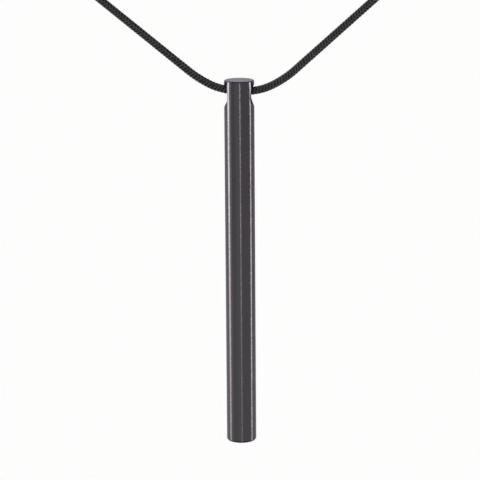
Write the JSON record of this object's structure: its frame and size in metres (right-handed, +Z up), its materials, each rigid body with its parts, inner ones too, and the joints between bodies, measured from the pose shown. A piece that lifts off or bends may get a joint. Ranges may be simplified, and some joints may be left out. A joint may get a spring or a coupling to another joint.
{
  "type": "end-blown breathing whistle pendant",
  "caption": "Slim closed metal tube with a cross slot under its top, bored for blowing from below, hung on a braided neck cord with a lobster clasp and an eye.",
  "frame": {"origin": "on the hanging tube's axis, level with the two places where the cord enters its end fittings", "axes": "+Z up along the tube, with its open lower end at -Z; X along the cord through the cross slot, clasp at -X and eye at +X; Y across the slot"},
  "size_m": [0.0837, 0.0064, 0.1089],
  "materials": {
    "tube_metal": "dark gunmetal coating over fine turned steel, satin to bright",
    "cord_braid": "tight round braid of waxed black thread",
    "fitting_metal": "dark gunmetal coating, smooth cast and tumbled",
    "spring_steel": "bare spring wire"
  },
  "bodies": {
    "cord": {"cord": "cord_braid", "eye_end": "fitting_metal", "clasp_body": "fitting_metal", "clasp_pin": "fitting_metal", "clasp_spring": "spring_steel"},
    "pendant": {"tube_body": "tube_metal", "top_plug": "tube_metal"},
    "lever": {"clasp_lever": "fitting_metal"}
  },
  "joints": [
    {"name": "pendant_swing", "type": "hinge", "parent": "cord", "child": "pendant", "pos_m": [0, 0, -0.0209], "axis": [1, 0, 0], "continuous": true},
    {"name": "clasp_lever_open", "type": "hinge", "parent": "cord", "child": "lever", "pos_m": [-0.03846, 0, 0.00518], "axis": [0, 1, 0], "range_deg": [0, 25], "stiffness_Nm_per_rad": 0.001, "springref_deg": -20.05, "deforming": ["clasp_spring"]}
  ]
}
